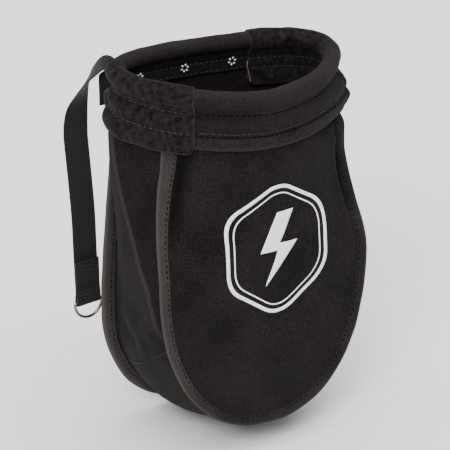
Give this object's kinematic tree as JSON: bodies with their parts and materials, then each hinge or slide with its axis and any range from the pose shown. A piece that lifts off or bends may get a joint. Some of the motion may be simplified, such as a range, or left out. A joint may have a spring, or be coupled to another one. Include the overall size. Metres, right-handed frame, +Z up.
{
  "type": "electrician tool pouch",
  "caption": "Black canvas tool pouch with a rigid hooped mouth, suede wear patches, a belt tunnel on the back and a hanging webbing tether with a D-ring.",
  "frame": {"origin": "middle of the belt tunnel's passage, where the belt carries the pouch", "axes": "+Z up, -Y the pouch's front, +X to the right when the front is seen and along the belt"},
  "size_m": [0.2463, 0.1744, 0.373],
  "materials": {
    "canvas": "black heavy cotton canvas, matt, plain weave",
    "tape": "black woven binding tape",
    "suede": "black suede, matt nap",
    "leather": "black strap leather, semi-matt",
    "webbing": "black polypropylene webbing, slight sheen",
    "nickel": "nickel-plated steel, polished",
    "plastic": "black moulded hoop, hidden in the collar"
  },
  "bodies": {
    "pouch": {"rim_hoop": "plastic", "collar_band": "canvas", "collar_hem_tape": "canvas", "left_wear_patch": "suede", "right_wear_patch": "suede", "front_panel": "canvas", "back_panel": "canvas", "left_gusset": "canvas", "bottom_gusset": "canvas", "right_gusset": "canvas", "front_seam_binding": "tape", "back_seam_binding": "tape", "belt_tunnel": "leather", "upper_rivet_1": "nickel", "upper_rivet_2": "nickel", "upper_rivet_3": "nickel", "upper_rivet_4": "nickel", "lower_rivet_1": "nickel", "lower_rivet_2": "nickel", "lower_rivet_3": "nickel", "lower_rivet_4": "nickel", "strap_rivet": "nickel", "tether_strap_root": "webbing"},
    "tether": {"tether_strap_tail": "webbing"},
    "ring": {"d_ring": "nickel"}
  },
  "joints": [
    {"name": "tether_swing", "type": "hinge", "parent": "pouch", "child": "tether", "pos_m": [-0.1139, 0.0356, -0.039], "axis": [0.9961, 0.0697, 0.0541], "range_deg": [-5, 100]},
    {"name": "ring_swing", "type": "hinge", "parent": "tether", "child": "ring", "pos_m": [-0.1049, 0.03718, -0.20675], "axis": [0.9961, 0.0697, 0.0541], "range_deg": [-75, 75]}
  ]
}
